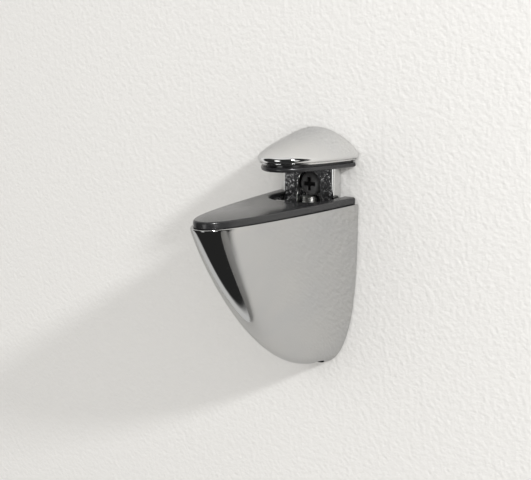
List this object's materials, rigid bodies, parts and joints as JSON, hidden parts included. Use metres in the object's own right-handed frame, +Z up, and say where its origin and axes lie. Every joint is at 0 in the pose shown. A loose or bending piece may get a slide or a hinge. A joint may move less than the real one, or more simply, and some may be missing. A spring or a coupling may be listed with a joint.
{
  "type": "clamping shelf bracket",
  "caption": "Polished clamping shelf bracket with a hollow beak-shaped lower jaw that slides on a wall-screwed stem and grips a shelf between soft pads.",
  "frame": {"origin": "on the wall plane, on the centre line, level with the shelf seat", "axes": "+Z up, +Y into the wall, +X along the wall; the bracket stands out along -Y"},
  "size_m": [0.0324, 0.0918, 0.08],
  "materials": {
    "plated_casting": "bright polished plating on a zinc casting",
    "soft_pad": "smooth satin dark grey moulded plastic",
    "dark_steel": "dark grey blackened steel",
    "plated_steel": "bright zinc plated steel"
  },
  "bodies": {
    "wall_part": {"upper_jaw": "plated_casting", "upper_pad": "soft_pad", "wall_screw": "dark_steel"},
    "lower_part": {"lower_body": "plated_casting", "lower_pad": "soft_pad"},
    "clamp_screw_body": {"clamp_screw": "plated_steel"}
  },
  "joints": [
    {"name": "jaw_opening", "type": "slide", "parent": "wall_part", "child": "lower_part", "axis": [0, 0, -1], "range_m": [0, 0.014]},
    {"name": "clamp_turn", "type": "hinge", "parent": "lower_part", "child": "clamp_screw_body", "pos_m": [0, -0.004, -0.05], "axis": [0, 0, -1], "range_deg": [0, 6310]}
  ],
  "couplings": [
    {"joint": "clamp_turn", "follows": "jaw_opening", "rad_per_m": 7854}
  ]
}
